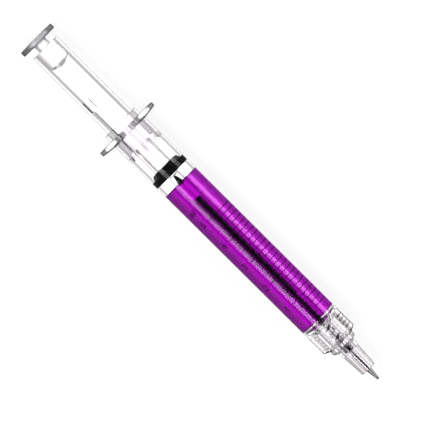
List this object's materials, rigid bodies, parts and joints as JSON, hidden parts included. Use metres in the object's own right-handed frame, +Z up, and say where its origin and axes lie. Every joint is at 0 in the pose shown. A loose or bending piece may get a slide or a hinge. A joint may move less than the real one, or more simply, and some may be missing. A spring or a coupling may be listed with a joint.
{
  "type": "syringe-shaped ballpoint pen",
  "caption": "Clear retractable ballpoint pen shaped like a syringe, with a thumb plunger, finger flange, graduated liquid chamber, rubber plug and spring-loaded refill.",
  "frame": {"origin": "on the surface the pen lies on, under the middle of its length and width", "axes": "+X along the pen's axis from the thumb press to the writing tip, +Y along one wing of the finger flange, +Z up"},
  "size_m": [0.138, 0.0208, 0.012],
  "materials": {
    "clear_polystyrene": "moulded, polished, water clear",
    "scale_ink": "pad-printed ink",
    "black_rubber": "moulded, satin",
    "purple_liquid": "clear dyed liquid",
    "refill_plastic": "extruded, translucent",
    "black_plastic": "moulded",
    "follower_grease": "translucent grease",
    "writing_ink": "wet ballpoint ink",
    "nickel_silver": "turned",
    "carbide_ball": "ground",
    "spring_steel": "drawn wire"
  },
  "bodies": {
    "barrel": {"outer_barrel": "clear_polystyrene", "graduation_scale": "scale_ink", "finger_flange": "clear_polystyrene", "guide_sleeve": "clear_polystyrene", "rubber_plug": "black_rubber", "inner_tube": "clear_polystyrene", "coloured_liquid": "purple_liquid", "front_seal": "clear_polystyrene", "nose_cone": "clear_polystyrene", "return_spring": "spring_steel"},
    "plunger": {"plunger_tube": "clear_polystyrene", "thumb_press": "clear_polystyrene"},
    "rotor": {"cam_rotor": "clear_polystyrene", "push_pin": "clear_polystyrene"},
    "refill": {"refill_tube": "refill_plastic", "tail_plug": "black_plastic", "ink_follower": "follower_grease", "ink_column": "writing_ink", "tip_holder": "refill_plastic", "metal_tip": "nickel_silver"},
    "ball": {"writing_ball": "carbide_ball"}
  },
  "joints": [
    {"name": "plunger_slide", "type": "slide", "parent": "barrel", "child": "plunger", "axis": [1, 0, 0], "range_m": [-0.0055, 0.0015]},
    {"name": "rotor_turn", "type": "hinge", "parent": "plunger", "child": "rotor", "pos_m": [-0.0175, 0, 0.006], "axis": [1, 0, 0], "range_deg": [-36, 10]},
    {"name": "refill_slide", "type": "slide", "parent": "barrel", "child": "refill", "axis": [1, 0, 0], "range_m": [-0.0055, 0.0015], "deforming": ["return_spring"]},
    {"name": "ball_roll", "type": "hinge", "parent": "refill", "child": "ball", "pos_m": [0.06865, 0, 0.006], "axis": [0, 1, 0], "continuous": true}
  ],
  "couplings": [
    {"joint": "refill_slide", "follows": "plunger_slide", "ratio": 1},
    {"joint": "rotor_turn", "follows": "plunger_slide", "rad_per_m": 112.2}
  ]
}
